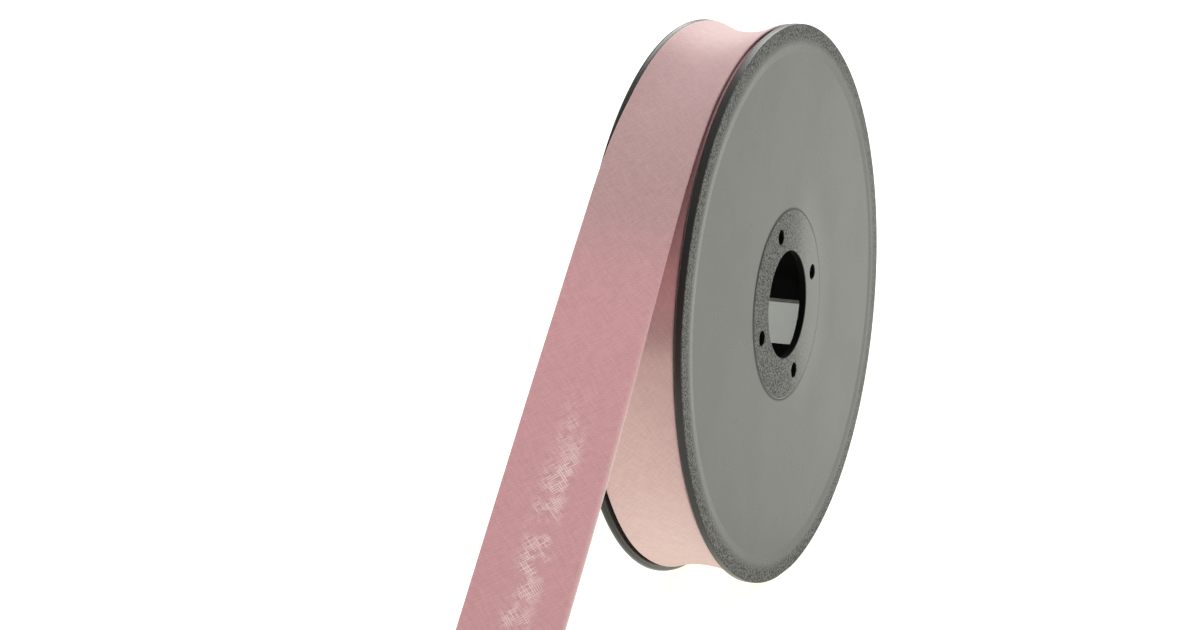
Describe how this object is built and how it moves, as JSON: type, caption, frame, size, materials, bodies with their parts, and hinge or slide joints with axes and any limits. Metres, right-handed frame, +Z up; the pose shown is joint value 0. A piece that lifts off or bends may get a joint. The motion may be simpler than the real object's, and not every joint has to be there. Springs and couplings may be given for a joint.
{
  "type": "roll of bias binding on a plastic reel",
  "caption": "Cotton bias binding wound on a dark grey plastic reel that stands on its rims, with the loose end running down to the surface.",
  "frame": {"origin": "on the surface the reel stands on, under the middle of the whole object's box", "axes": "+Z up; the reel's axis along X, with the pictured flange towards +X; the loose end runs out towards -Y"},
  "size_m": [0.024, 0.2402, 0.1257],
  "materials": {
    "reel_plastic": "polished anthracite plastic, spark textured on the raised edge band and hub ring",
    "drum_plastic": "dark moulded plastic",
    "core_card": "pale uncoated card",
    "binding_cloth": "plain woven cotton cut on the bias, edges folded in and pressed"
  },
  "bodies": {
    "root": {"near_flange": "reel_plastic", "far_flange": "reel_plastic", "hub_drum": "drum_plastic", "core_sleeve": "core_card", "wound_binding": "binding_cloth", "loose_end": "binding_cloth"}
  },
  "joints": []
}
